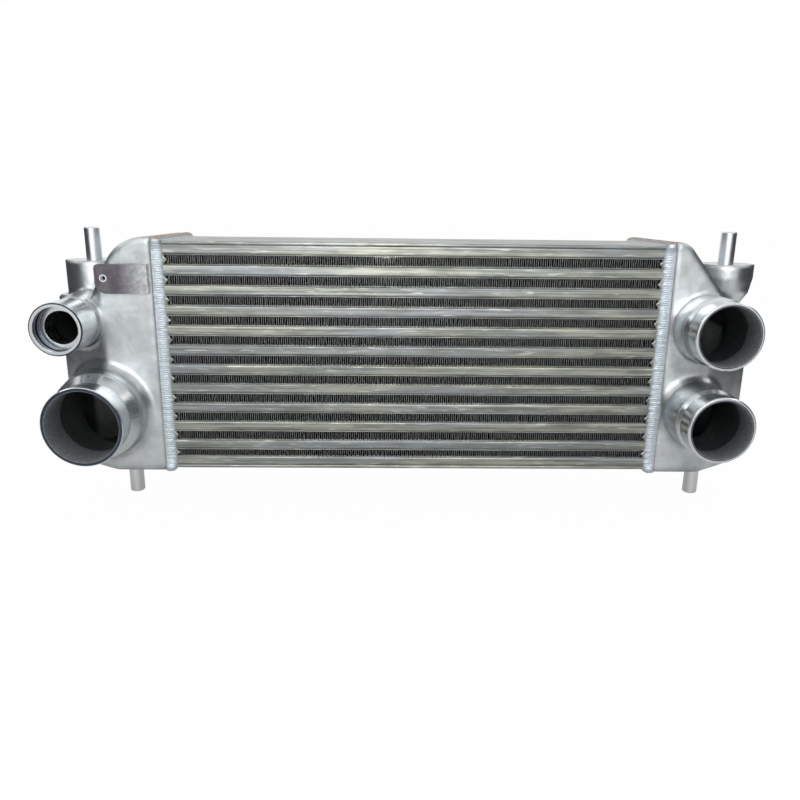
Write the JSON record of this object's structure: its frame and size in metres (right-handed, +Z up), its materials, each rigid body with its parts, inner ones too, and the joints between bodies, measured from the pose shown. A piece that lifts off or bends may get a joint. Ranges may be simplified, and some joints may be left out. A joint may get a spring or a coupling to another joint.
{
  "type": "intercooler",
  "caption": "Bar-and-plate air-to-air intercooler with cast end tanks, hose necks facing forward, upright and hanging locating pins and a tapped tab",
  "frame": {"origin": "on the axis of the lower left locating pin, where the pin leaves the underside of the left tank; the core is at mid-depth there", "axes": "X along the core from the left tank towards the right tank as seen from the front, Y from the core's front face to its rear face, Z up"},
  "size_m": [0.748, 0.198, 0.301],
  "materials": {
    "cast_aluminium": "blasted casting, satin",
    "machined_aluminium": "bright turned",
    "weld_aluminium": "bright rippled weld",
    "polished_steel": "polished",
    "turned_aluminium": "turned, dull",
    "anodised_aluminium": "dark, satin",
    "fin_aluminium": "dull sheet",
    "brazed_aluminium": "bright extruded, satin"
  },
  "bodies": {
    "root": {"ambient_fin_row_01": "fin_aluminium", "ambient_fin_row_02": "fin_aluminium", "ambient_fin_row_03": "fin_aluminium", "ambient_fin_row_04": "fin_aluminium", "ambient_fin_row_05": "fin_aluminium", "ambient_fin_row_06": "fin_aluminium", "ambient_fin_row_07": "fin_aluminium", "ambient_fin_row_08": "fin_aluminium", "ambient_fin_row_09": "fin_aluminium", "ambient_fin_row_10": "fin_aluminium", "ambient_fin_row_11": "fin_aluminium", "bottom_side_plate": "brazed_aluminium", "charge_fins": "fin_aluminium", "front_closing_bar_01": "brazed_aluminium", "front_closing_bar_02": "brazed_aluminium", "front_closing_bar_03": "brazed_aluminium", "front_closing_bar_04": "brazed_aluminium", "front_closing_bar_05": "brazed_aluminium", "front_closing_bar_06": "brazed_aluminium", "front_closing_bar_07": "brazed_aluminium", "front_closing_bar_08": "brazed_aluminium", "front_closing_bar_09": "brazed_aluminium", "front_closing_bar_10": "brazed_aluminium", "front_closing_bar_11": "brazed_aluminium", "front_closing_bar_12": "brazed_aluminium", "hose_necks": "machined_aluminium", "left_end_tank": "cast_aluminium", "left_nose_bars": "brazed_aluminium", "left_weld_bead": "weld_aluminium", "lower_locating_pins": "turned_aluminium", "parting_sheets": "brazed_aluminium", "rear_closing_bar_01": "brazed_aluminium", "rear_closing_bar_02": "brazed_aluminium", "rear_closing_bar_03": "brazed_aluminium", "rear_closing_bar_04": "brazed_aluminium", "rear_closing_bar_05": "brazed_aluminium", "rear_closing_bar_06": "brazed_aluminium", "rear_closing_bar_07": "brazed_aluminium", "rear_closing_bar_08": "brazed_aluminium", "rear_closing_bar_09": "brazed_aluminium", "rear_closing_bar_10": "brazed_aluminium", "rear_closing_bar_11": "brazed_aluminium", "rear_closing_bar_12": "brazed_aluminium", "right_end_tank": "cast_aluminium", "right_nose_bars": "brazed_aluminium", "right_weld_bead": "weld_aluminium", "tab_bracket": "anodised_aluminium", "top_side_plate": "brazed_aluminium", "upper_locating_pins": "polished_steel"}
  },
  "joints": []
}
